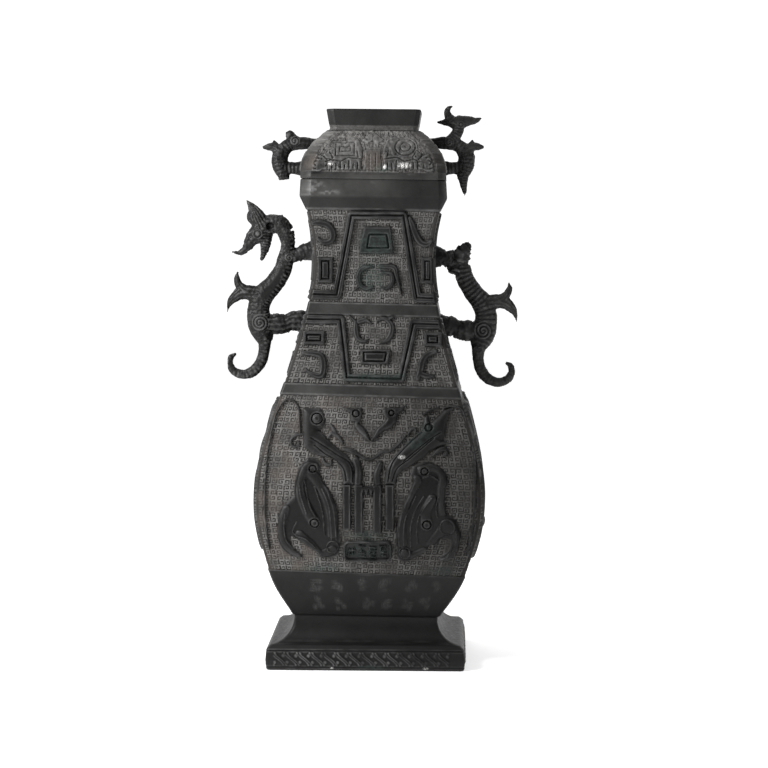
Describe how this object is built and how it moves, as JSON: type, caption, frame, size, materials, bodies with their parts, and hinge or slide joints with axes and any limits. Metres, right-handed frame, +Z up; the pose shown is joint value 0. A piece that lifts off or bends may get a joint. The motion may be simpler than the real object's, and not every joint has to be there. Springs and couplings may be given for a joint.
{
  "type": "lidded fanghu vessel",
  "caption": "Rectangular-section cast bronze wine vessel with a lift-off lid, relief registers, and dragon and small creature handles, some broken.",
  "frame": {"origin": "on the ground under the middle of the whole width, handles included, 2 mm right of the middle of the foot", "axes": "+Z up, X along the wide front with the complete dragon at -X, the wide front faces -Y"},
  "size_m": [0.2321, 0.1426, 0.4382],
  "materials": {
    "vessel_bronze": "dark patinated cast bronze, brownish grey in the sunk grounds, traces of green",
    "lid_bronze": "dark patinated cast bronze, worn grey on the raised forms",
    "handle_bronze": "near-black patinated cast bronze"
  },
  "bodies": {
    "root": {"vessel": "vessel_bronze", "lid": "lid_bronze", "handle_left": "handle_bronze", "handle_right": "handle_bronze", "lid_handle_left": "handle_bronze", "lid_handle_right": "handle_bronze"}
  },
  "joints": []
}
